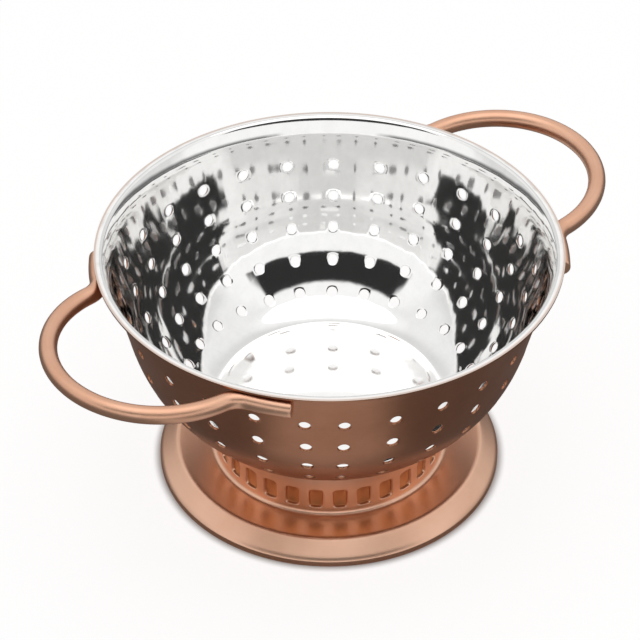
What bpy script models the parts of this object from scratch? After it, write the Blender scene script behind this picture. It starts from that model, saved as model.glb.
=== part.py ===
"""A footed colander: a spun bowl with punched holes, a spun foot with a fluted neck,
two handles bent from round rod, and the braze metal that joins them.

Metres, +Z up. The origin is the middle of the foot, on the surface that it stands on.
The handles reach along X, one each way.
"""
import math

import bmesh
import bpy
from mathutils import Matrix, Vector

# Bowl, turned from sheet
HEIGHT = 0.1206
RIM_RADIUS = 0.105
LIP_WIDTH = 0.0044
WALL_TOP_RADIUS = RIM_RADIUS - LIP_WIDTH
LIP_BEND_RADIUS = 0.0035
FLARE_RADIUS = 0.016
FLARE_SLOPE = math.radians(33.0)
SHEET = 0.001
WALL_LEAN = math.radians(13.4)
WALL_STRAIGHT_DEPTH = 0.040
BELLY_RADIUS = 0.075
BELLY_END = math.radians(50.0)
CORNER_RADIUS = 0.030

# Holes punched through the bowl's wall. The columns are indexed round it from the first, by a pitch
# that leaves a narrower gap where the round closes
HOLE_RADIUS = 0.0025
PUNCH_SHEETS = 8
HOLE_ROWS = 5
FIRST_ROW = 0.0237
ROW_PITCH = 0.0161
HOLE_COLUMNS = 27
FIRST_COLUMN = math.radians(-125.0)
CLOSING_GAP = math.radians(10.3)

# Foot, turned from sheet: an edge, a sloping band up to a ridge, a shallow dish, a cove and a neck
FOOT_RADIUS = 0.0796
FOOT_SHEET = 0.0012
EDGE_UPRIGHT = 0.0012
EDGE_RADIUS = 0.006
BAND_SLOPE = math.radians(30.0)
BAND_WIDTH = 0.0062
RIDGE_RADIUS = 0.0015
FLANK_SLOPE = math.radians(9.5)
COVE_RADIUS = 0.004
NECK_RADIUS = 0.053
NECK_SHOULDER_RADIUS = 0.003
SEAT_RADIUS = 0.043

# Flutes pressed into the neck of the foot. The neck is left smooth inside
FLUTE_COUNT = 30
FLUTE_WIDTH = 0.0068
FLUTE_BOTTOM = 0.0122
FLUTE_HEIGHT = 0.0090
FLUTE_DEPTH = 0.0006
FLUTE_START = math.radians(-123.4)

# Handles, bent from round rod
ROD_RADIUS = 0.004
LOOP_RADIUS = 0.047
LOOP_INSET = 0.0084
LOOP_REACH = RIM_RADIUS - LOOP_INSET
BEND_RADIUS = 0.012
HANDLE_END = 0.0187
HANDLE_DROP = 0.0061
HANDLE_LIFT = math.radians(3.25)
HANDLE_SKEW = math.radians(1.47)

# Braze metal in the wedge under each handle's end, and round the top of the neck
SEAM_INSET = math.radians(1.2)
SEAM_TOP = 0.0020
SEAM_BOTTOM = 0.0037
SEAM_ROD_ANGLE = math.radians(48.0)
RING_LEG = 0.0022

# Gap left between pieces that touch, and the wider one round the faceted braze
GAP = 0.0003
BRAZE_GAP = 0.00045

# Facets
BOWL_STEPS = 48
FOOT_STEPS = 60
HOLE_SIDES = 8
LIP_STEPS = 2
FLARE_STEPS = 1
BELLY_STEPS = 4
CORNER_STEPS = 3
COVE_STEPS = 4
EDGE_STEPS = 2
RIDGE_STEPS = 2
SHOULDER_STEPS = 1
LOOP_STEPS = 24
BEND_STEPS = 5
END_STEPS = 4
ROD_BEVEL_RESOLUTION = 3

COPPER = (0.72, 0.38, 0.24, 1.0)
BOWL_METAL = (0.78, 0.62, 0.54, 1.0)
BRAZE = (0.66, 0.42, 0.22, 1.0)


def clear_scene():
    for item in list(bpy.data.objects):
        bpy.data.objects.remove(item, do_unlink=True)


def metal(name, colour, roughness):
    material = bpy.data.materials.new(name)
    material.use_nodes = True
    surface = material.node_tree.nodes["Principled BSDF"]
    surface.inputs["Base Color"].default_value = colour
    surface.inputs["Metallic"].default_value = 1.0
    surface.inputs["Roughness"].default_value = roughness
    return material


def add_object(name, data, material):
    item = bpy.data.objects.new(name, data)
    if material is not None:
        data.materials.append(material)
    bpy.context.scene.collection.objects.link(item)
    return item


def mesh_from(shape, name):
    """Close a bmesh into a mesh, with its faces pointing out."""
    bmesh.ops.recalc_face_normals(shape, faces=shape.faces)
    mesh = bpy.data.meshes.new(name)
    shape.to_mesh(mesh)
    shape.free()
    return mesh


def turned_mesh(name, outline, steps, closed):
    """Turn a half section of (radius, height) points once round Z."""
    shape = bmesh.new()
    points = [shape.verts.new((radius, 0.0, height)) for radius, height in outline]
    pairs = list(zip(points, points[1:]))
    if closed:
        pairs.append((points[-1], points[0]))
    edges = [shape.edges.new(pair) for pair in pairs]
    bmesh.ops.spin(shape, geom=points + edges, cent=(0, 0, 0), axis=(0, 0, 1), dvec=(0, 0, 0),
                   angle=math.tau, steps=steps, use_merge=True)
    bmesh.ops.remove_doubles(shape, verts=shape.verts, dist=1e-6)
    mesh = mesh_from(shape, name)
    mesh.shade_smooth()
    mesh.set_sharp_from_angle(angle=math.radians(35))
    return mesh


def arc(centre, radius, start, end, steps):
    """Points of an arc in the half section. An angle is the slope below the outward direction."""
    turns = [start + (end - start) * step / steps for step in range(steps + 1)]
    return [(centre[0] + radius * math.cos(turn), centre[1] - radius * math.sin(turn)) for turn in turns]


def wall_radius(height):
    """Outer radius of the bowl's straight wall at a height."""
    return WALL_TOP_RADIUS - (HEIGHT - height) * math.tan(WALL_LEAN)


def wall_end():
    height = HEIGHT - WALL_STRAIGHT_DEPTH
    return wall_radius(height), height


def belly_centre():
    radius, height = wall_end()
    return radius - BELLY_RADIUS * math.cos(WALL_LEAN), height + BELLY_RADIUS * math.sin(WALL_LEAN)


def corner_centre():
    radius, height = belly_centre()
    reach = BELLY_RADIUS - CORNER_RADIUS
    return radius + reach * math.cos(BELLY_END), height - reach * math.sin(BELLY_END)


def floor_height():
    """Height of the bowl's underside at its middle."""
    return corner_centre()[1] - CORNER_RADIUS


def underside(radius):
    """Height of the bowl's underside at a radius on its floor or its corner."""
    centre = corner_centre()
    reach = max(radius - centre[0], 0.0)
    return centre[1] - math.sqrt(CORNER_RADIUS ** 2 - reach ** 2)


def bowl_curve(inset):
    """The bowl's wall from the end of its straight part to the middle of its floor."""
    belly = arc(belly_centre(), BELLY_RADIUS - inset, WALL_LEAN, BELLY_END, BELLY_STEPS)
    corner = arc(corner_centre(), CORNER_RADIUS - inset, BELLY_END, math.pi / 2, CORNER_STEPS)
    return belly + corner[1:] + [(0.0, floor_height() + inset)]


def bowl_place(distance):
    """Point of the outer wall, and its slope, at a distance from the rim along the wall."""
    straight = WALL_STRAIGHT_DEPTH / math.cos(WALL_LEAN)
    if distance <= straight:
        height = HEIGHT - distance * math.cos(WALL_LEAN)
        return wall_radius(height), height, WALL_LEAN
    slope = WALL_LEAN + (distance - straight) / BELLY_RADIUS
    radius, height = arc(belly_centre(), BELLY_RADIUS, slope, slope, 1)[0]
    return radius, height, slope


def column_angles():
    """Angles of the hole columns round Z."""
    pitch = (math.tau - CLOSING_GAP) / (HOLE_COLUMNS - 1)
    return [FIRST_COLUMN + column * pitch for column in range(HOLE_COLUMNS)]


def cut(item, name, shape):
    """Cut a closed tool out of an object."""
    tool = add_object(name, mesh_from(shape, name), None)
    tool.hide_render = True
    tool.display_type = "WIRE"
    modifier = item.modifiers.new(name, "BOOLEAN")
    modifier.operation = "DIFFERENCE"
    modifier.solver = "EXACT"
    modifier.object = tool


def lip_curve(inset):
    """The lip from its edge, over its bend and down the flare to the straight wall."""
    inner_wall = WALL_TOP_RADIUS - SHEET / math.cos(WALL_LEAN)
    reach = FLARE_RADIUS - LIP_BEND_RADIUS
    drop = LIP_BEND_RADIUS + reach * math.sin(FLARE_SLOPE)
    flare_out = inner_wall - drop * math.tan(WALL_LEAN) + FLARE_RADIUS / math.cos(WALL_LEAN)
    bend_out = flare_out - reach * math.cos(FLARE_SLOPE)
    bend = arc((bend_out, HEIGHT - LIP_BEND_RADIUS), LIP_BEND_RADIUS - inset,
               -math.pi / 2, FLARE_SLOPE - math.pi, LIP_STEPS)
    flare = arc((flare_out, HEIGHT - drop), FLARE_RADIUS - inset,
                FLARE_SLOPE - math.pi, WALL_LEAN - math.pi, FLARE_STEPS)
    return [(RIM_RADIUS, HEIGHT - inset)] + bend + flare[1:]


def make_bowl(material):
    outer = lip_curve(SHEET) + bowl_curve(0.0)
    inner = lip_curve(0.0) + bowl_curve(SHEET)
    outline = outer + inner[::-1] + outer[:1]
    bowl = add_object("bowl", turned_mesh("bowl", outline, BOWL_STEPS, False), material)

    punches = bmesh.new()
    for row in range(HOLE_ROWS):
        radius, height, slope = bowl_place(FIRST_ROW + row * ROW_PITCH)
        for turn in column_angles():
            place = Matrix.Rotation(turn, 4, "Z") @ Matrix.Translation((radius, 0.0, height))
            lean = Matrix.Rotation(math.pi / 2 + slope, 4, "Y")
            bmesh.ops.create_cone(punches, cap_ends=True, segments=HOLE_SIDES, radius1=HOLE_RADIUS,
                                  radius2=HOLE_RADIUS, depth=PUNCH_SHEETS * SHEET, matrix=place @ lean)
    cut(bowl, "hole_punches", punches)
    return bowl


def foot_outline(inset):
    """The foot's skin from its bottom edge to the inner edge of the seat under the bowl."""
    edge_middle = Vector((FOOT_RADIUS - EDGE_RADIUS, EDGE_UPRIGHT))
    edge = arc(edge_middle, EDGE_RADIUS - inset, 0.0, BAND_SLOPE - math.pi / 2, EDGE_STEPS)
    band_up = Vector((-math.cos(BAND_SLOPE), math.sin(BAND_SLOPE)))
    band_out = Vector((math.sin(BAND_SLOPE), math.cos(BAND_SLOPE)))
    ridge_middle = edge_middle + (EDGE_RADIUS - RIDGE_RADIUS) * band_out + BAND_WIDTH * band_up
    ridge = arc(ridge_middle, RIDGE_RADIUS - inset, BAND_SLOPE - math.pi / 2,
                -FLANK_SLOPE - math.pi / 2, RIDGE_STEPS)
    cove_out = NECK_RADIUS + COVE_RADIUS
    across = (cove_out - ridge_middle.x) * math.sin(FLANK_SLOPE)
    cove_up = ridge_middle.y + (COVE_RADIUS + RIDGE_RADIUS + across) / math.cos(FLANK_SLOPE)
    cove = arc((cove_out, cove_up), COVE_RADIUS + inset, math.pi / 2 - FLANK_SLOPE, math.pi, COVE_STEPS)
    seat = underside(SEAT_RADIUS) - GAP
    shoulder = arc((NECK_RADIUS - NECK_SHOULDER_RADIUS, seat - NECK_SHOULDER_RADIUS),
                   NECK_SHOULDER_RADIUS - inset, 0.0, -math.pi / 2, SHOULDER_STEPS)
    return [(FOOT_RADIUS - inset, 0.0)] + edge + ridge + cove + shoulder + [(SEAT_RADIUS, seat - inset)]


def make_foot(material):
    outline = foot_outline(0.0) + foot_outline(FOOT_SHEET)[::-1]
    foot = add_object("foot", turned_mesh("foot", outline, FOOT_STEPS, True), material)

    flutes = bmesh.new()
    size = Matrix.Diagonal((FLUTE_DEPTH + FOOT_SHEET, FLUTE_WIDTH, FLUTE_HEIGHT, 1.0))
    out = NECK_RADIUS + (FOOT_SHEET - FLUTE_DEPTH) / 2
    middle = Matrix.Translation((out, 0.0, FLUTE_BOTTOM + FLUTE_HEIGHT / 2))
    for flute in range(FLUTE_COUNT):
        turn = Matrix.Rotation(FLUTE_START + math.tau * flute / FLUTE_COUNT, 4, "Z")
        bmesh.ops.create_cube(flutes, size=1.0, matrix=turn @ middle @ size)
    cut(foot, "flute_tools", flutes)
    return foot


def end_radius():
    """Distance from Z to the rod's middle, where its end lies along the bowl's wall."""
    stand_off = (ROD_RADIUS + GAP) / math.cos(WALL_LEAN)
    return wall_radius(HEIGHT - HANDLE_DROP) + stand_off


def bend_centre():
    """Middle of the bend between a handle's loop and its end, as out and across."""
    from_axis = end_radius() + BEND_RADIUS
    from_loop = LOOP_RADIUS + BEND_RADIUS
    out = (from_axis ** 2 - from_loop ** 2 + LOOP_REACH ** 2) / (2 * LOOP_REACH)
    return out, math.sqrt(from_axis ** 2 - out ** 2)


def end_start():
    """Angle about Z where a handle's end starts to follow the wall."""
    out, across = bend_centre()
    return math.atan2(across, out)


def end_stop():
    """Angle about Z where a handle's end stops, its length along the wall further on."""
    return end_start() + HANDLE_END / end_radius()


def steps_between(start, end, steps):
    return [start + (end - start) * step / steps for step in range(steps + 1)]


def half_handle():
    """Half of a handle's middle line, from the tip of its loop to its end, as out and across."""
    out, across = bend_centre()
    loop_end = math.atan2(across, out - LOOP_REACH)
    line = [(LOOP_REACH + LOOP_RADIUS * math.cos(turn), LOOP_RADIUS * math.sin(turn))
            for turn in steps_between(0.0, loop_end, LOOP_STEPS // 2)]
    bend_end = end_start() - math.pi
    line += [(out + BEND_RADIUS * math.cos(turn), across + BEND_RADIUS * math.sin(turn))
             for turn in steps_between(loop_end - math.pi, bend_end, BEND_STEPS)[1:]]
    line += [(end_radius() * math.cos(turn), end_radius() * math.sin(turn))
             for turn in steps_between(end_start(), end_stop(), END_STEPS)[1:]]
    return line


def handle_place(out, across, side):
    """Point of a handle in the part's frame. The side is 1 for +X and -1 for -X."""
    lift = (out - end_radius() * math.cos(end_start())) * math.tan(HANDLE_LIFT)
    point = Vector((out, across, HEIGHT - HANDLE_DROP + lift))
    point = Matrix.Rotation(-HANDLE_SKEW, 3, "Z") @ point
    return Vector((side * point.x, point.y, point.z))


def make_handle(name, side, material):
    half = half_handle()
    line = [(out, -across) for out, across in half[::-1]] + half[1:]
    curve = bpy.data.curves.new(name, "CURVE")
    curve.dimensions = "3D"
    curve.bevel_depth = ROD_RADIUS
    curve.bevel_resolution = ROD_BEVEL_RESOLUTION
    curve.use_fill_caps = True
    spline = curve.splines.new("POLY")
    spline.points.add(len(line) - 1)
    for point, (out, across) in zip(spline.points, line):
        point.co = (*handle_place(out, across, side), 1.0)
    return add_object(name, curve, material)


def make_seam(name, side, end, material):
    """Braze under one end of a handle. The end is 1 or -1, across the handle's own middle."""
    inward = Vector((-math.cos(WALL_LEAN), math.sin(WALL_LEAN)))
    down = Vector((-math.sin(WALL_LEAN), -math.cos(WALL_LEAN)))
    rod_side = ROD_RADIUS + BRAZE_GAP
    section = [
        inward * ROD_RADIUS + down * SEAM_TOP,
        inward * ROD_RADIUS + down * SEAM_BOTTOM,
        inward * rod_side * math.cos(SEAM_ROD_ANGLE) + down * rod_side * math.sin(SEAM_ROD_ANGLE),
    ]
    shape = bmesh.new()
    rings = []
    for turn in steps_between(end_start() + SEAM_INSET, end_stop() - SEAM_INSET, END_STEPS):
        ring = []
        for point in section:
            radius = end_radius() + point.x
            middle = handle_place(end_radius() * math.cos(turn), end_radius() * end * math.sin(turn), side)
            place = handle_place(radius * math.cos(turn), radius * end * math.sin(turn), side)
            ring.append(shape.verts.new((place.x, place.y, middle.z + point.y)))
        rings.append(ring)
    for near, far in zip(rings, rings[1:]):
        for corner in range(len(section)):
            following = (corner + 1) % len(section)
            shape.faces.new((near[corner], near[following], far[following], far[corner]))
    shape.faces.new(rings[0])
    shape.faces.new(rings[-1])
    return add_object(name, mesh_from(shape, name), material)


def make_foot_ring(material):
    """Braze in the groove between the neck's shoulder and the bowl's underside."""
    inner = NECK_RADIUS - GAP
    outer = NECK_RADIUS + RING_LEG
    section = [
        (inner, underside(inner) - BRAZE_GAP),
        (outer, underside(outer) - BRAZE_GAP),
        (NECK_RADIUS + BRAZE_GAP, underside(NECK_RADIUS) - RING_LEG),
    ]
    return add_object("foot_braze", turned_mesh("foot_braze", section, FOOT_STEPS, True), material)


def main():
    clear_scene()
    copper = metal("copper", COPPER, 0.3)
    make_bowl(metal("bowl_metal", BOWL_METAL, 0.2))
    make_foot(copper)
    make_handle("handle_right", 1, copper)
    make_handle("handle_left", -1, copper)
    braze = metal("braze", BRAZE, 0.45)
    for side_name, side in (("right", 1), ("left", -1)):
        for end_name, end in (("back", 1), ("front", -1)):
            make_seam(f"braze_{side_name}_{end_name}", side, end, braze)
    make_foot_ring(braze)


main()
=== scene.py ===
# %% [markdown]
# # A footed colander in copper and steel
# The object is a spun bowl with rows of drain holes, bright steel inside and satin copper outside.
# It stands on a spun copper foot with a fluted neck, and it has two loop handles bent from round
# rod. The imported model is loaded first, as a frame. Every piece below is then drawn in metres,
# in the place of the solid that it stands for, so nothing has to be fitted afterwards.

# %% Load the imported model
import math

import bmesh
import bpy
from mathutils import Matrix, Vector


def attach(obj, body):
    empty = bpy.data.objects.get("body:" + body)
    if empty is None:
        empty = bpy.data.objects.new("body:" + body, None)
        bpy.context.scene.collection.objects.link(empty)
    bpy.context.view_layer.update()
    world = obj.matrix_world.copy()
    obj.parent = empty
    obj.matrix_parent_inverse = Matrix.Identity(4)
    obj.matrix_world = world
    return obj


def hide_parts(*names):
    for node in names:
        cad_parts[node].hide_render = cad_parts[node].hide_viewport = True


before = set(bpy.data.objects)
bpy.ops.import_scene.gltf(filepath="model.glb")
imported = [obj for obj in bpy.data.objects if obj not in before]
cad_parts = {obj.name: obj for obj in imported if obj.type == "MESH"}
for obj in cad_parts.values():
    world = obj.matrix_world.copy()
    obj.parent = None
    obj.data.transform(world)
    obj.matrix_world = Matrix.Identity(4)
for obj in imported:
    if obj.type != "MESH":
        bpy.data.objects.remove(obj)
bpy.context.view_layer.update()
print("the frame holds", sorted(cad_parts))

# %% [markdown]
# ## A section as a walk
# Spun ware is turned from flat sheet, so a half section says all about its form. It could be a list
# of points. A walk is shorter and reads like a workshop drawing: each leg has a length and the angle
# that it turns through on the way. The sheet's good side is on the right of the walk, and a place on
# the section is a distance along the metal.

# %% The section
TINY = 1e-7
QUARTER = math.pi / 2


class Section:
    """A half section, in radius and height, walked leg by leg."""

    def __init__(self, radius, height, heading):
        self.legs = []
        self.length = 0.0
        self.end = (Vector((radius, height)), heading)

    def leg(self, length, turn=0.0):
        """Walk on for a length, and turn left by an angle on the way. Gives the distance so far."""
        self.legs.append((self.length, *self.end, turn / length))
        self.length += length
        self.end = self.at(self.length)
        return self.length

    def at(self, distance):
        """The point at a distance, and the heading there."""
        start, point, heading, curve = [leg for leg in self.legs if leg[0] <= distance + TINY][-1]
        along = distance - start
        turned = heading + curve * along
        if curve == 0.0:
            return point + along * Vector((math.cos(heading), math.sin(heading))), heading
        step = Vector((math.sin(turned) - math.sin(heading), math.cos(heading) - math.cos(turned)))
        return point + step / curve, turned


# %% [markdown]
# ## Sheet with holes and flutes
# The bowl's sheet is punched with holes, and the foot's is pressed with flutes. Cutting them with a
# Boolean would leave long thin triangles, which show in polished metal. Here the sheet is made flat
# first, as a grid of cells. Inset rings run from each cell's edge to the outline in it, so the faces
# round a hole or a flute stay even, and the rings can be pressed in where the tool drew the metal
# down. Then the strip is rolled up along the section, and the points that meet at the seam and at the
# middle of the floor are merged.

# %% Flat strips that are pressed and rolled
STRIP_RADIUS = 0.1
FIRST_INSET = 0.0002
MERGE_DISTANCE = 1e-6


def flat_cells(angles, distances):
    """A flat grid of cells. Across is an angle times the strip's radius, along is a distance."""
    strip = bmesh.new()
    columns = len(angles) - 1
    rows = len(distances) - 1
    bmesh.ops.create_grid(strip, x_segments=columns, y_segments=rows, size=0.5)
    for vert in strip.verts:
        column = round((vert.co.x + 0.5) * columns)
        row = round((vert.co.y + 0.5) * rows)
        vert.co = (angles[column] * STRIP_RADIUS, distances[row], 0.0)
    return strip


def press(strip, cuts, rings, outline_in):
    """Press an outline into each cell, and give the faces inside. A ring is a share of the way to the
    outline, and a depth."""
    bmesh.ops.bisect_edges(strip, edges=strip.edges, cuts=cuts)
    cells = list(strip.faces)
    borders = [[vert.co.copy() for vert in cell.verts] for cell in cells]
    outlines = [outline_in(cell.calc_center_median(), border) for cell, border in zip(cells, borders)]
    for share, depth in rings:
        bmesh.ops.inset_individual(strip, faces=cells, thickness=FIRST_INSET)
        for cell, border, outline in zip(cells, borders, outlines):
            for vert, outside, inside in zip(cell.verts, border, outline):
                vert.co = outside.lerp(inside, share)
                vert.co.z = -depth
    return cells


def draw_on(strip, start, stops):
    """Draw the strip's edge at one distance on through others. A stop is a distance, and the number
    of rows on the way to it."""
    for end, steps in stops:
        rows = [start + (end - start) * step / steps for step in range(1, steps + 1)]
        for distance in rows:
            edge = [line for line in strip.edges
                    if line.is_boundary and all(abs(vert.co.y - start) < TINY for vert in line.verts)]
            for item in bmesh.ops.extrude_edge_only(strip, edges=edge)["geom"]:
                if isinstance(item, bmesh.types.BMVert):
                    item.co.y = distance
            start = distance


def roll(strip, section):
    """Roll a flat strip round Z along a section."""
    for vert in strip.verts:
        place, heading = section.at(vert.co.y)
        place = place + vert.co.z * Vector((math.sin(heading), -math.cos(heading)))
        turn = vert.co.x / STRIP_RADIUS
        vert.co = (place.x * math.cos(turn), place.x * math.sin(turn), place.y)
    bmesh.ops.remove_doubles(strip, verts=strip.verts, dist=MERGE_DISTANCE)


# %% [markdown]
# ## From a shape to a piece
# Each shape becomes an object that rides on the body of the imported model. Sheet gets its thickness last,
# from a Solidify modifier, because it is then the same everywhere. A sheet has three materials: its
# good side, its back and its cut edge. A Bevel modifier takes the sharpness off the cut edges.

# %% Pieces and their thickness
SOFT_EDGE_ANGLE = math.radians(50)
SOFT_EDGE_SEGMENTS = 2


def add_piece(name, shape, materials):
    """Turn a bmesh into a smooth piece that rides on the body."""
    mesh = bpy.data.meshes.new(name)
    shape.to_mesh(mesh)
    shape.free()
    mesh.shade_smooth()
    for material in materials:
        mesh.materials.append(material)
    piece = bpy.data.objects.new(name, mesh)
    bpy.context.scene.collection.objects.link(piece)
    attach(piece, "root")
    print(name, "has", len(mesh.polygons), "faces")
    return piece


def thicken(piece, thickness, edge_width):
    """Give a sheet its thickness behind its good side, and soften its edges."""
    solid = piece.modifiers.new("thickness", "SOLIDIFY")
    solid.thickness = thickness
    solid.offset = -1.0
    solid.use_even_offset = True
    solid.material_offset = 1
    solid.material_offset_rim = 2
    soft = piece.modifiers.new("softened edges", "BEVEL")
    soft.width = edge_width
    soft.segments = SOFT_EDGE_SEGMENTS
    soft.limit_method = "ANGLE"
    soft.angle_limit = SOFT_EDGE_ANGLE


# %% [markdown]
# ## Shader maths
# A finish is easier to read as a sum than as a net of nodes. This class wraps one output of a node.
# Plus, minus, times and the rest add Math nodes, and one method adds any other node: its settings
# first, then its sockets.

# %% The shader class


class Wire:
    """One output in a node tree. With no output it stands for the tree itself."""

    def __init__(self, tree, output=None):
        self.tree = tree
        self.output = output

    def node(self, kind, settings=None, sockets=None, out=0):
        """Add a node, and give one of its outputs."""
        made = self.tree.nodes.new("ShaderNode" + kind)
        for name, value in (settings or {}).items():
            setattr(made, name, value)
        for name, value in (sockets or {}).items():
            if isinstance(value, Wire):
                self.tree.links.new(value.output, made.inputs[name])
            else:
                made.inputs[name].default_value = value
        return Wire(self.tree, made.outputs[out])

    def sibling(self, out):
        """Another output of the same node."""
        return Wire(self.tree, self.output.node.outputs[out])

    def math(self, operation, *values):
        return self.node("Math", {"operation": operation}, dict(enumerate(values)))

    def __add__(self, other):
        return self.math("ADD", self, other)

    def __radd__(self, other):
        return self.math("ADD", other, self)

    def __sub__(self, other):
        return self.math("SUBTRACT", self, other)

    def __rsub__(self, other):
        return self.math("SUBTRACT", other, self)

    def __mul__(self, other):
        return self.math("MULTIPLY", self, other)

    def __rmul__(self, other):
        return self.math("MULTIPLY", other, self)

    def __truediv__(self, other):
        return self.math("DIVIDE", self, other)

    def __pow__(self, other):
        return self.math("POWER", self, other)

    def __abs__(self):
        return self.math("ABSOLUTE", self)

    def dot(self, axis):
        """How far a vector reaches along an axis."""
        return self.node("VectorMath", {"operation": "DOT_PRODUCT"}, {0: self, 1: axis}, out="Value")

    def ramp(self, low, high):
        """0 at one value, 1 at another, and smooth between them."""
        return self.node("MapRange", {"interpolation_type": "SMOOTHSTEP"},
                         {"Value": self, "From Min": low, "From Max": high})

    def between(self, rise, fall):
        """1 from the end of a rise to the start of a fall, 0 outside them."""
        return self.ramp(*rise) * (1 - self.ramp(*fall))

    def mix(self, first, second):
        """The first colour at 0, the second at 1. Sockets 6 and 7 and output 2 are the colour ones."""
        return self.node("Mix", {"data_type": "RGBA"}, {0: self, 6: first, 7: second}, out=2)


def new_metal(name, roughness):
    """A metal material. Gives it, its tree and its surface node."""
    material = bpy.data.materials.new(name)
    material.use_nodes = True
    surface = material.node_tree.nodes["Principled BSDF"]
    surface.inputs["Metallic"].default_value = 1.0
    surface.inputs["Roughness"].default_value = roughness
    return material, Wire(material.node_tree), surface


def feed(tree, surface, **values):
    """Link wires to a surface's sockets, by name."""
    for name, wire in values.items():
        tree.tree.links.new(wire.output, surface.inputs[name.replace("_", " ")])


# %% [markdown]
# ## Coordinates and noise for turned metal
# A wheel or a lathe leaves its marks round the axis. A noise that reads the turn round Z slowly, and the
# radius and the height fast, draws such marks. The turn could be an angle, but an angle jumps where it
# closes, and the jump shows as a seam. A point on a circle has no jump.

# %% Coordinates and noise
TURN_SHARE = 0.35


def round_coordinates(tree):
    """Object coordinates, the turn round Z as a point on a circle, the distance from Z, the height."""
    place = tree.node("TexCoord", out="Object")
    x = tree.node("SeparateXYZ", sockets={0: place}, out="X")
    y = x.sibling("Y")
    reach = (x * x + y * y) ** 0.5
    return place, (x / reach, y / reach), reach, x.sibling("Z")


def vector(tree, x, y, z):
    return tree.node("CombineXYZ", sockets={0: x, 1: y, 2: z})


def noise(tree, place, scale, detail, rough, fourth=0.0):
    sockets = {"Vector": place, "W": fourth, "Scale": scale, "Detail": detail, "Roughness": rough}
    return tree.node("TexNoise", {"noise_dimensions": "4D"}, sockets)


def polish_lines(tree, turn, reach, height, pitch):
    """Fine lines that run round Z, 0 to 1."""
    across = vector(tree, TURN_SHARE * turn[0], TURN_SHARE * turn[1], reach * pitch)
    return noise(tree, across, scale=1.0, detail=4.0, rough=0.65, fourth=height * pitch)


def bump(tree, strength, distance, height):
    return tree.node("Bump", sockets={"Strength": strength, "Distance": distance, "Height": height})


# %% [markdown]
# ## Copper
# The outside is copper plate with a satin polish. The polishing wheel leaves fine lines that run round
# the bowl. A second, broad noise gives the warm and dull patches of handled copper. One flat colour
# with a fixed roughness would be simpler, and would look like paint. The bowl's copper is painted
# darker than the foot's and the rods', and the inside of the flutes darker again: both are painted shade.

# %% Copper finishes
# Painted shade: the darker copper colour given to the inside of the flutes.
PAINTED_FLUTE_SHADE = (0.62, 0.30, 0.145, 1)
COPPER_LINE_PITCH = 2600.0
COPPER_LINE_HEIGHT = 0.0002
PATCH_SCALE = 28.0
PATCH_RANGE = (0.32, 0.70)
PATCH_COLOUR = 0.65
LINE_COLOUR = 0.35
PATCH_ROUGHNESS = 0.16
LINE_ROUGHNESS = 0.12


def copper(name, light, dark, roughness, line_depth, painted_shade_reach=None):
    """Satin copper. If two distances from Z are given, the copper is painted darker as painted shade in
    the flutes, full at the first and gone at the second.
    """
    material, tree, surface = new_metal(name, roughness)
    place, turn, reach, height = round_coordinates(tree)
    lines = polish_lines(tree, turn, reach, height, COPPER_LINE_PITCH)
    patches = noise(tree, place, PATCH_SCALE, detail=4.0, rough=0.6)
    dullness = PATCH_COLOUR * patches.ramp(*PATCH_RANGE) + LINE_COLOUR * lines
    colour = dullness.mix(light, dark)
    # Painted shade: the copper turns darker towards the floor of each flute.
    if painted_shade_reach:
        colour = reach.ramp(*painted_shade_reach).mix(PAINTED_FLUTE_SHADE, colour)
    rough = roughness + PATCH_ROUGHNESS * (patches - 0.5) + LINE_ROUGHNESS * (lines - 0.5)
    grooves = bump(tree, line_depth, COPPER_LINE_HEIGHT, lines)
    feed(tree, surface, Base_Color=colour, Roughness=rough, Normal=grooves)
    print("finish:", name)
    return material


# Painted shade: the bowl's copper is the foot's and the rods' copper painted darker, for the dark floor
# and tent that it mirrors.
bowl_copper_painted_darker = copper("satin copper painted darker", light=(0.56, 0.27, 0.16, 1), dark=(0.46, 0.21, 0.12, 1),
                     roughness=0.36, line_depth=0.10)
rod_copper = copper("rod copper", light=(0.92, 0.56, 0.39, 1), dark=(0.79, 0.43, 0.28, 1),
                    roughness=0.37, line_depth=0.05)

# %% [markdown]
# ## Bright steel
# The inside is steel, buffed until it mirrors. What makes it look like metal and not glass is that the
# mirror isn't flat: spinning leaves shallow waves, which pull reflections into streaks, and buffing
# leaves a faint haze. Both are noise, one broad in the bump and one fine in the roughness. The floor is
# flat, so the waves fade out there, and the lip's edge has a tinge of the copper that ends at it.

# %% Steel finish
STEEL_CLEAR = (0.95, 0.945, 0.935, 1)
STEEL_HAZED = (0.90, 0.895, 0.885, 1)
STEEL_AT_EDGE = (0.90, 0.76, 0.68, 1)
STEEL_LINE_PITCH = 1400.0
HAZE_SCALE = 160.0
HAZE_RANGE = (0.3, 0.75)
EDGE_REACH = (0.1030, 0.1047)
WAVES_ROUND = 9.0
WAVES_UP = 15.0
WAVES_START = (0.036, 0.060)
STEEL_ROUGHNESS = 0.02
HAZE_ROUGHNESS = 0.04
STEEL_LINE_ROUGHNESS = 0.03


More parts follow.
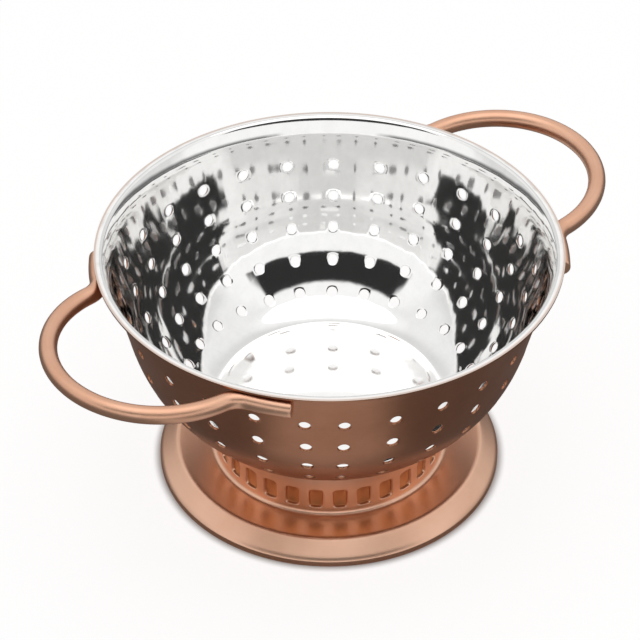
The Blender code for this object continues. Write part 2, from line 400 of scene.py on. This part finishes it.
def steel(name):
    material, tree, surface = new_metal(name, roughness=0.06)
    place, turn, reach, height = round_coordinates(tree)
    lines = polish_lines(tree, turn, reach, height, STEEL_LINE_PITCH)
    drawn = vector(tree, WAVES_ROUND * turn[0], WAVES_ROUND * turn[1], WAVES_UP * height)
    waves = noise(tree, drawn, scale=1.0, detail=1.0, rough=0.4) * height.ramp(*WAVES_START)
    haze = noise(tree, place, HAZE_SCALE, detail=3.0, rough=0.6)
    colour = haze.ramp(*HAZE_RANGE).mix(STEEL_CLEAR, STEEL_HAZED)
    colour = reach.ramp(*EDGE_REACH).mix(colour, STEEL_AT_EDGE)
    rough = STEEL_ROUGHNESS + HAZE_ROUGHNESS * haze + STEEL_LINE_ROUGHNESS * lines
    shallow = bump(tree, strength=0.2, distance=0.001, height=waves)
    feed(tree, surface, Base_Color=colour, Roughness=rough, Normal=shallow)
    print("finish:", name)
    return material


bright_steel = steel("bright steel")

# %% [markdown]
# ## Braze
# The joints are run with braze metal and cleaned: a duller, yellower metal than the copper beside it,
# uneven because it froze from a puddle. One noise is enough for its colour, its gloss and its lumps.

# %% Braze finish
BRAZE_LIGHT = (0.70, 0.42, 0.24, 1)
BRAZE_DARK = (0.50, 0.27, 0.14, 1)
LUMP_SCALE = 420.0
LUMP_RANGE = (0.3, 0.7)
BRAZE_ROUGHNESS = 0.34
LUMP_ROUGHNESS = 0.2


def braze_metal(name):
    material, tree, surface = new_metal(name, roughness=0.42)
    place = tree.node("TexCoord", out="Object")
    lumps = noise(tree, place, LUMP_SCALE, detail=3.0, rough=0.6)
    colour = lumps.ramp(*LUMP_RANGE).mix(BRAZE_LIGHT, BRAZE_DARK)
    uneven = bump(tree, strength=0.5, distance=0.0004, height=lumps)
    rough = BRAZE_ROUGHNESS + LUMP_ROUGHNESS * lumps
    feed(tree, surface, Base_Color=colour, Roughness=rough, Normal=uneven)
    print("finish:", name)
    return material


braze = braze_metal("braze")

# %% [markdown]
# ## The bowl
# The walk follows the bright side: in from the lip's edge, over a tight bend, down a short flare and
# the leaning wall, round the belly and the corner, and across the floor to the middle. The wall stays on
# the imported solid's line, and the lip's flat is what the bend and the flare leave over.

# %% Sizes of the bowl
HEIGHT = 0.1206
RIM_RADIUS = 0.105
LIP_WIDTH = 0.0044
SHEET = 0.001
SHEET_EDGE = 0.0002
WALL_LEAN = math.radians(13.4)
WALL_STRAIGHT_DEPTH = 0.040
BELLY_RADIUS = 0.075
BELLY_END = math.radians(50.0)
CORNER_RADIUS = 0.030
LIP_BEND_RADIUS = 0.0024
FLARE_RADIUS = 0.026
FLARE_SLOPE = math.radians(33.5)

# %% The bowl's section
lip_turn = QUARTER - FLARE_SLOPE
flare_turn = FLARE_SLOPE - WALL_LEAN
bend_in = LIP_BEND_RADIUS * math.cos(FLARE_SLOPE)
bend_down = LIP_BEND_RADIUS * (1 - math.sin(FLARE_SLOPE))
flare_in = FLARE_RADIUS * (math.cos(WALL_LEAN) - math.cos(FLARE_SLOPE))
flare_down = FLARE_RADIUS * (math.sin(FLARE_SLOPE) - math.sin(WALL_LEAN))
flare_depth = bend_down + flare_down
wall_top = RIM_RADIUS - LIP_WIDTH - SHEET / math.cos(WALL_LEAN)
wall_at_flare = wall_top - flare_depth * math.tan(WALL_LEAN)

bowl_section = Section(RIM_RADIUS, HEIGHT, math.pi)
lip_end = bowl_section.leg(RIM_RADIUS - bend_in - flare_in - wall_at_flare)
bend_end = bowl_section.leg(LIP_BEND_RADIUS * lip_turn, lip_turn)
flare_end = bowl_section.leg(FLARE_RADIUS * flare_turn, flare_turn)
rim_line = flare_end - flare_depth / math.cos(WALL_LEAN)
edge_drop = SHEET * math.tan(WALL_LEAN)
wall_end = bowl_section.leg((WALL_STRAIGHT_DEPTH - flare_depth) / math.cos(WALL_LEAN) - edge_drop)
belly_turn = BELLY_END - WALL_LEAN
bowl_section.leg((BELLY_RADIUS - SHEET) * belly_turn, -belly_turn)
corner_turn = QUARTER - BELLY_END
corner_end = bowl_section.leg((CORNER_RADIUS - SHEET) * corner_turn, -corner_turn)
floor_end = bowl_section.leg(bowl_section.end[0].x)
print("the floor's upper side is", round(bowl_section.end[0].y * 1000, 2), "mm up")

# %% [markdown]
# ## Drain holes
# The holes were punched a column at a time, while the bowl was turned by one step after another.
# Twenty-seven columns don't quite fill the turn, so the gap between the last and the first is narrower,
# as on the real bowl. Each hole has a cell of the sheet to itself, with its edges halfway to the next.

# %% Where the holes are
HOLE_RADIUS = 0.0025
HOLE_ROWS = 5
FIRST_ROW = 0.0237
ROW_PITCH = 0.0161
HOLE_COLUMNS = 27
FIRST_COLUMN = math.radians(-125.0)
CLOSING_GAP = math.radians(10.3)


def row_distance(row):
    """Distance along the bright side to a row of holes, punched square to the wall."""
    outside = FIRST_ROW + row * ROW_PITCH
    straight = WALL_STRAIGHT_DEPTH / math.cos(WALL_LEAN)
    if outside <= straight:
        return rim_line - edge_drop + outside
    return wall_end + (outside - straight) * (1 - SHEET / BELLY_RADIUS)


column_pitch = (math.tau - CLOSING_GAP) / (HOLE_COLUMNS - 1)
columns = [FIRST_COLUMN + column * column_pitch for column in range(HOLE_COLUMNS)]
column_edges = [columns[0] - CLOSING_GAP / 2]
column_edges += [angle + column_pitch / 2 for angle in columns[:-1]]
column_edges.append(column_edges[0] + math.tau)

rows = [row_distance(row) for row in range(HOLE_ROWS)]
row_edges = [rows[0] - ROW_PITCH / 2]
row_edges += [(first + second) / 2 for first, second in zip(rows, rows[1:])]
row_edges.append(rows[-1] + ROW_PITCH / 2)
print("columns of holes are", round(math.degrees(column_pitch), 2), "degrees apart")

# %% The bowl, punched and rolled
HOLE_CUTS = 7
HOLE_RINGS = ((0.25, 0.0), (0.55, 0.0), (0.80, 0.0), (0.91, 0.0), (0.965, 0.00004), (1.0, 0.00012))


def nearest(values, value):
    return min(values, key=lambda other: abs(other - value))


def round_hole(middle, border):
    """Where each point of a cell's edge lands on the round hole in it."""
    angle = nearest(columns, middle.x / STRIP_RADIUS)
    distance = nearest(rows, middle.y)
    stretch = bowl_section.at(distance)[0].x / STRIP_RADIUS
    outline = []
    for point in border:
        across = (point.x - angle * STRIP_RADIUS) * stretch
        along = point.y - distance
        share = HOLE_RADIUS / math.hypot(across, along)
        place = (angle * STRIP_RADIUS + across * share / stretch, distance + along * share, 0)
        outline.append(Vector(place))
    return outline


sheet = flat_cells(column_edges, row_edges)
punched = press(sheet, HOLE_CUTS, HOLE_RINGS, round_hole)
bmesh.ops.delete(sheet, geom=punched, context="FACES")
draw_on(sheet, row_edges[0], [(flare_end, 3), (bend_end, 8), (lip_end, 10), (0.0, 2)])
draw_on(sheet, row_edges[-1], [(corner_end, 6), (floor_end, 12)])
roll(sheet, bowl_section)
# The outside and the cut edges get the copper that is painted darker as painted shade.
bowl = add_piece("bowl_shell", sheet, [bright_steel, bowl_copper_painted_darker, bowl_copper_painted_darker])
thicken(bowl, SHEET, SHEET_EDGE)
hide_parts("bowl")

# %% [markdown]
# ## The foot
# The foot is walked up its outer side: a short upright edge, a rolled shoulder, a band that slopes up
# to a crisp ridge, a dished flank, a cove that sweeps up into the neck, and the seat that is turned in
# under the bowl. The last legs are worked out so that the neck ends up at its radius and the seat just
# under the bowl's floor.

# %% Sizes of the foot
FOOT_RADIUS = 0.0796
FOOT_SHEET = 0.0012
FOOT_SHEET_EDGE = 0.0003
EDGE_CORNER_RADIUS = 0.0005
EDGE_RADIUS = 0.0075
EDGE_SLOPE = math.radians(56.0)
BAND_SLOPE = math.radians(38.0)
BAND_HEIGHT = 0.0045
BAND_WIDTH = 0.0073
RIDGE_RADIUS = 0.003
FLANK_SLOPE = math.radians(10.5)
FLANK_END = math.radians(8.0)
COVE_RADIUS = 0.0025
NECK_RADIUS = 0.053
NECK_SHOULDER_RADIUS = 0.003
SEAT_RADIUS = 0.043
GAP = 0.0003

# %% The foot's section
upright_turn = QUARTER - EDGE_SLOPE
edge_turn = EDGE_SLOPE - BAND_SLOPE
upright_rise = EDGE_CORNER_RADIUS * math.cos(EDGE_SLOPE)
edge_rise = EDGE_RADIUS * (math.cos(BAND_SLOPE) - math.cos(EDGE_SLOPE))

foot_section = Section(FOOT_RADIUS, 0.0, QUARTER)
upright_end = foot_section.leg(BAND_HEIGHT - edge_rise - upright_rise)
edge_start = foot_section.leg(EDGE_CORNER_RADIUS * upright_turn, upright_turn)
band_start = foot_section.leg(EDGE_RADIUS * edge_turn, edge_turn)
ridge_start = foot_section.leg(BAND_WIDTH)
ridge_turn = BAND_SLOPE + FLANK_SLOPE
flank_start = foot_section.leg(RIDGE_RADIUS * ridge_turn, ridge_turn)
flank_in = foot_section.end[0].x - NECK_RADIUS - COVE_RADIUS * (1 + math.sin(FLANK_END))
flank_turn = FLANK_SLOPE - FLANK_END
flank_length = flank_in * flank_turn / (math.sin(FLANK_SLOPE) - math.sin(FLANK_END))
cove_start = foot_section.leg(flank_length, -flank_turn)
cove_turn = QUARTER + FLANK_END
neck_start = foot_section.leg(COVE_RADIUS * cove_turn, -cove_turn)
neck_height = foot_section.end[0].y
seat_height = bowl_section.end[0].y - SHEET - GAP
shoulder_start = foot_section.leg(seat_height - NECK_SHOULDER_RADIUS - neck_height)
seat_start = foot_section.leg(NECK_SHOULDER_RADIUS * QUARTER, QUARTER)
seat_end = foot_section.leg(NECK_RADIUS - NECK_SHOULDER_RADIUS - SEAT_RADIUS)
print("the neck starts", round(neck_height * 1000, 2), "mm up")

# %% [markdown]
# ## Flutes
# Thirty flutes are pressed into the neck. Rings are inset in each cell as for the holes, but they go
# deeper and the middle is closed. The copper in them is painted darker as painted shade, full at a
# flute's floor and gone just under the neck's surface.

# %% Where the flutes are
FLUTE_COUNT = 30
FLUTE_WIDTH = 0.0068
FLUTE_BOTTOM = 0.0112
FLUTE_HEIGHT = 0.0105
FLUTE_START = math.radians(-123.4)
FLUTE_ROUNDNESS = 5.0
FLUTE_MARGIN = 0.0012
FLUTE_DEPTH = 0.0015

flute_low = neck_start + FLUTE_BOTTOM - neck_height
flute_high = flute_low + FLUTE_HEIGHT
fluted_low = flute_low - FLUTE_MARGIN
fluted_high = flute_high + FLUTE_MARGIN
flute_edges = [FLUTE_START + math.tau * (flute - 0.5) / FLUTE_COUNT for flute in range(FLUTE_COUNT + 1)]
# Distances from Z where the painted shade in the flutes is full and where it is gone.
flute_shade_reach = (NECK_RADIUS - FLUTE_DEPTH, NECK_RADIUS - FLUTE_DEPTH / 4)
print("flutes are", round(360 / FLUTE_COUNT, 2), "degrees apart")

# %% The foot, pressed and rolled
FLUTE_CUTS = 7
FLUTE_RINGS = ((0.4, 0.0), (0.85, 0.0), (0.97, 0.00008), (1.05, 0.0004), (1.13, 0.0009), (1.22, 0.0014))


def rounded_flute(middle, border):
    """Where each point of a cell's edge lands on the flute in it, a box with rounded corners."""
    distance = (flute_low + flute_high) / 2
    stretch = NECK_RADIUS / STRIP_RADIUS
    outline = []
    for point in border:
        across = (point.x - middle.x) * stretch
        along = point.y - distance
        size = (abs(2 * across / FLUTE_WIDTH) ** FLUTE_ROUNDNESS
                + abs(2 * along / FLUTE_HEIGHT) ** FLUTE_ROUNDNESS) ** (1 / FLUTE_ROUNDNESS)
        outline.append(Vector((middle.x + across / size / stretch, distance + along / size, 0)))
    return outline


strip = flat_cells(flute_edges, [fluted_low, fluted_high])
pressed = press(strip, FLUTE_CUTS, FLUTE_RINGS, rounded_flute)
for vert in bmesh.ops.poke(strip, faces=pressed)["verts"]:
    vert.co.z = -FLUTE_DEPTH
down = [(cove_start, 6), (flank_start, 6), (ridge_start, 6), (band_start, 4), (edge_start, 6)]
draw_on(strip, fluted_low, down + [(upright_end, 4), (0.0, 1)])
draw_on(strip, fluted_high, [(shoulder_start, 3), (seat_start, 6), (seat_end, 1)])
roll(strip, foot_section)
# The foot's copper is painted darker in the flutes, as painted shade.
foot_copper = copper("polished copper", light=(0.91, 0.57, 0.41, 1), dark=(0.80, 0.47, 0.32, 1),
                     roughness=0.32, line_depth=0.08, painted_shade_reach=flute_shade_reach)
foot = add_piece("foot_shell", strip, [foot_copper, foot_copper, foot_copper])
thicken(foot, FOOT_SHEET, FOOT_SHEET_EDGE)
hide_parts("foot")

# %% [markdown]
# ## The handles
# Each handle is one length of rod, bent cold: an end that hugs the wall under the lip, a tight bend,
# the loop, and the same again. A sweep along a curve would do. Spinning a round section about the
# middle of each bend is closer to how a rod bender works, and keeps every bend a true arc. The tight
# bend's middle is where its arc touches both the end's circle and the loop's.

# %% Sizes of the handles
ROD_RADIUS = 0.004
LOOP_RADIUS = 0.047
LOOP_INSET = 0.0084
BEND_RADIUS = 0.012
HANDLE_END = 0.0187
HANDLE_DROP = 0.0061
HANDLE_LIFT = math.radians(3.25)
HANDLE_SKEW = math.radians(1.47)
ROD_SIDES = 28
ROD_END_BEVEL = 0.0006

# %% The bends of a handle
END_STEPS = 10
BEND_STEPS = 16
LOOP_STEPS = 72

loop_reach = RIM_RADIUS - LOOP_INSET
wall_at_rod = RIM_RADIUS - LIP_WIDTH - HANDLE_DROP * math.tan(WALL_LEAN)
end_radius = wall_at_rod + (ROD_RADIUS + GAP) / math.cos(WALL_LEAN)
bend_out = (end_radius + BEND_RADIUS) ** 2 - (LOOP_RADIUS + BEND_RADIUS) ** 2 + loop_reach ** 2
bend_out /= 2 * loop_reach
bend_across = math.sqrt((end_radius + BEND_RADIUS) ** 2 - bend_out ** 2)
end_start = math.atan2(bend_across, bend_out)
end_stop = end_start + HANDLE_END / end_radius
loop_end = math.atan2(bend_across, bend_out - loop_reach)
lift_start = end_radius * math.cos(end_start)

bends = [
    ((0, 0, 0), end_stop - end_start, END_STEPS),
    ((bend_out, -bend_across, 0), end_start - loop_end, BEND_STEPS),
    ((loop_reach, 0, 0), 2 * loop_end, LOOP_STEPS),
    ((bend_out, bend_across, 0), end_start - loop_end, BEND_STEPS),
    ((0, 0, 0), end_stop - end_start, END_STEPS),
]
print("a handle reaches", round((loop_reach + LOOP_RADIUS + ROD_RADIUS) * 1000, 1), "mm out")

# %% The two handles


def handle_place(side):
    """Lifts a flat handle to its height, tilts it, turns it a little and puts it on its side."""
    lift = Matrix.Identity(4)
    lift[2][0] = math.tan(HANDLE_LIFT)
    lift[2][3] = HEIGHT - HANDLE_DROP - lift_start * math.tan(HANDLE_LIFT)
    return Matrix.Diagonal((side, 1, 1, 1)) @ Matrix.Rotation(-HANDLE_SKEW, 4, "Z") @ lift


def make_handle(name, node, side):
    """Bend a rod, round off its ends and put it on one side of the bowl, 1 or -1."""
    rod = bmesh.new()
    upright = Matrix.Rotation(QUARTER, 4, "X")
    start = Matrix.Rotation(-end_stop, 4, "Z") @ Matrix.Translation((end_radius, 0, 0)) @ upright
    bmesh.ops.create_circle(rod, radius=ROD_RADIUS, segments=ROD_SIDES, matrix=start)
    geom = rod.verts[:] + rod.edges[:]
    for centre, angle, steps in bends:
        made = bmesh.ops.spin(rod, geom=geom, cent=centre, axis=(0, 0, 1), dvec=(0, 0, 0),
                              angle=angle, steps=steps)
        geom = made["geom_last"]
    ends = [edge for edge in rod.edges if edge.is_boundary]
    bmesh.ops.holes_fill(rod, edges=ends)
    bmesh.ops.bevel(rod, geom=ends, offset=ROD_END_BEVEL, offset_type="OFFSET", segments=3,
                    profile=0.5, affect="EDGES", material=-1)
    bmesh.ops.transform(rod, matrix=handle_place(side), verts=rod.verts)
    bmesh.ops.recalc_face_normals(rod, faces=rod.faces)
    piece = add_piece(name, rod, [rod_copper])
    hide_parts(node)


make_handle("rod_right", "handle_right", 1)
make_handle("rod_left", "handle_left", -1)

# %% [markdown]
# ## Braze at the joints
# A run of braze lies in the wedge under each end of a handle, and a ring of it in the groove between
# the neck and the bowl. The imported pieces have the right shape, so they stay, with the braze finish.

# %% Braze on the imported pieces
braze_nodes = [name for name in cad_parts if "braze" in name]
for name in braze_nodes:
    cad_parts[name].data.materials.clear()
    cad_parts[name].data.materials.append(braze)
print("braze on", braze_nodes)

# %% [markdown]
# ## Studio floor
# The photograph has a white ground. A white floor would throw more light on the object, so this one is
# grey, and it glows white for the camera alone, up to the foot's edge. Metal sees it as dim, with a
# paler strip in front of the foot and behind it, which brightens the middle of the bowl's outside.

# %% Studio floor
CAMERA_TURN = math.radians(-38.77)
FLOOR_RADIUS = 6.0
FLOOR_GREY = (0.62, 0.62, 0.62, 1)
FLOOR_GLOW = 0.85
FLOOR_IN_METAL = 0.03
STRIP_IN_METAL = 0.40
STRIP_START = (0.078, 0.105)
STRIP_SIDES = (0.040, 0.075)
FOOT_EDGE = (0.078, 0.084)

ahead = (-math.sin(CAMERA_TURN), math.cos(CAMERA_TURN), 0.0)
right = (math.cos(CAMERA_TURN), math.sin(CAMERA_TURN), 0.0)
floor_shape = bmesh.new()
bmesh.ops.create_circle(floor_shape, cap_ends=True, radius=FLOOR_RADIUS, segments=64)
floor_mesh = bpy.data.meshes.new("floor")
floor_shape.to_mesh(floor_mesh)
floor_shape.free()
floor = bpy.data.objects.new("floor", floor_mesh)
bpy.context.scene.collection.objects.link(floor)
print("the studio floor is", 2 * FLOOR_RADIUS, "m across")

# %% The studio floor's paint
floor_paint = bpy.data.materials.new("pale floor")
floor_paint.use_nodes = True
floor_tree = Wire(floor_paint.node_tree)
floor_surface = floor_paint.node_tree.nodes["Principled BSDF"]
floor_surface.inputs["Base Color"].default_value = FLOOR_GREY
floor_surface.inputs["Roughness"].default_value = 0.9
floor_surface.inputs["Specular IOR Level"].default_value = 0.0
floor_surface.inputs["Emission Strength"].default_value = 1.0

seen = floor_tree.node("LightPath", out="Is Camera Ray")
in_metal = seen.sibling("Is Glossy Ray") + seen.sibling("Is Transmission Ray")
spot = floor_tree.node("TexCoord", out="Object")
from_foot = floor_tree.node("VectorMath", {"operation": "LENGTH"}, {0: spot}, out="Value")
pale_strip = abs(spot.dot(ahead)).ramp(*STRIP_START) * (1 - abs(spot.dot(right)).ramp(*STRIP_SIDES))
glow = FLOOR_GLOW * seen + (FLOOR_IN_METAL + STRIP_IN_METAL * pale_strip) * in_metal
feed(floor_tree, floor_surface, Emission_Color=glow * from_foot.ramp(*FOOT_EDGE))
floor_mesh.materials.append(floor_paint)
print("finish:", floor_paint.name)

# %% [markdown]
# ## Tent and lamp
# Bright metal shows little but its surroundings, so they are drawn with care. They are a white tent, a
# little greyer on the far side, and the bowl's polished inside shows that it has one dark opening, on
# the camera's side. The grey fades to the left and right, and straight ahead it has a gap, where the
# lip and the bowl's floor mirror white. The tent ends a little above the floor, so metal that faces
# the sides shows a dark strip there. The tent is nowhere brighter than white, and a round lamp
# overhead gives the soft shadow. Heights below are sines of the angle above the floor.

# %% Tent
OPENING_SIDES = (0.53, 0.59)
OPENING_BOTTOM = (0.48, 0.50)
OPENING_TOP = (0.765, 0.795)
OPENING_DARKNESS = 0.97
GREY_START = (-0.30, -0.10)
GREY_TOP = (0.84, 0.94)
GREY_DARKNESS = 0.25
BRIGHT_GAP_SIDES = (0.11, 0.19)
BRIGHT_GAP_BOTTOM = (0.57, 0.61)
BRIGHT_GAP_TOP = (0.68, 0.72)
FADE_SIDES = (0.40, 0.80)
FADE_BOTTOM = (0.45, 0.60)
FADE_SHARE = 0.6
HEM_TOP = (0.06, 0.18)
HEM_SIDES = (0.35, 0.55)
HEM_DARKNESS = 0.8
ROOM_LIGHT = 0.18

room = bpy.data.worlds.new("room")
room.use_nodes = True
bpy.context.scene.world = room
room_tree = Wire(room.node_tree)
direction = room_tree.node("TexCoord", out="Generated")
forward = direction.dot(ahead)
upward = direction.dot((0.0, 0.0, 1.0))
level_reach = (1 - upward * upward) ** 0.5
facing = -1.0 * forward / level_reach
sideways = abs(direction.dot(right)) / level_reach

opening = facing.ramp(*OPENING_SIDES) * upward.between(OPENING_BOTTOM, OPENING_TOP)
bright_gap = (1 - sideways.ramp(*BRIGHT_GAP_SIDES)) * upward.between(BRIGHT_GAP_BOTTOM, BRIGHT_GAP_TOP)
fade = FADE_SHARE * sideways.ramp(*FADE_SIDES) * upward.ramp(*FADE_BOTTOM)
grey = forward.ramp(*GREY_START) * (1 - upward.ramp(*GREY_TOP)) * (1 - bright_gap) * (1 - fade)
hem = (1 - upward.ramp(*HEM_TOP)) * sideways.ramp(*HEM_SIDES)
tent = (1 - OPENING_DARKNESS * opening) * (1 - GREY_DARKNESS * grey) * (1 - HEM_DARKNESS * hem)

camera_ray = room_tree.node("LightPath", out="Is Camera Ray")
metal_ray = camera_ray.sibling("Is Glossy Ray") + camera_ray.sibling("Is Transmission Ray")
shade = camera_ray + metal_ray * tent + (1 - camera_ray - metal_ray) * ROOM_LIGHT
room.node_tree.links.new(shade.output, room.node_tree.nodes["Background"].inputs["Color"])
print("the tent has", len(room.node_tree.nodes), "nodes")

# %% Lamp
LAMP_SIZE = 1.1
LAMP_POWER = 1.3
LAMP_HEIGHT = 1.3

lamp_data = bpy.data.lights.new("overhead softbox", "AREA")
lamp_data.shape = "DISK"
lamp_data.size = LAMP_SIZE
lamp_data.energy = LAMP_POWER
lamp = bpy.data.objects.new("overhead softbox", lamp_data)
lamp.location = (0.0, 0.0, LAMP_HEIGHT)
bpy.context.scene.collection.objects.link(lamp)
print("the lamp is", LAMP_SIZE, "m across")

# %% [markdown]
# ## Camera
# The place, the turn and the lens were fitted to the outlines of the rim and the foot in the photograph.
# The lens is long, so the far side of the rim is hardly smaller than the near one.

# %% Camera
CAMERA_PLACE = (-0.6058, -0.7475, 0.8622)
CAMERA_TILT = math.radians(50.838)
CAMERA_LENS = 153.28
SENSOR_WIDTH = 36.0

camera_data = bpy.data.cameras.new("camera")
camera_data.lens = CAMERA_LENS
camera_data.sensor_width = SENSOR_WIDTH
camera = bpy.data.objects.new("camera", camera_data)
camera.location = CAMERA_PLACE
camera.rotation_euler = (CAMERA_TILT, 0.0, CAMERA_TURN)
bpy.context.scene.collection.objects.link(camera)
bpy.context.scene.camera = camera
bpy.context.scene.view_settings.view_transform = "Standard"
print("the camera is", round(camera.location.length, 2), "m from the middle of the foot")
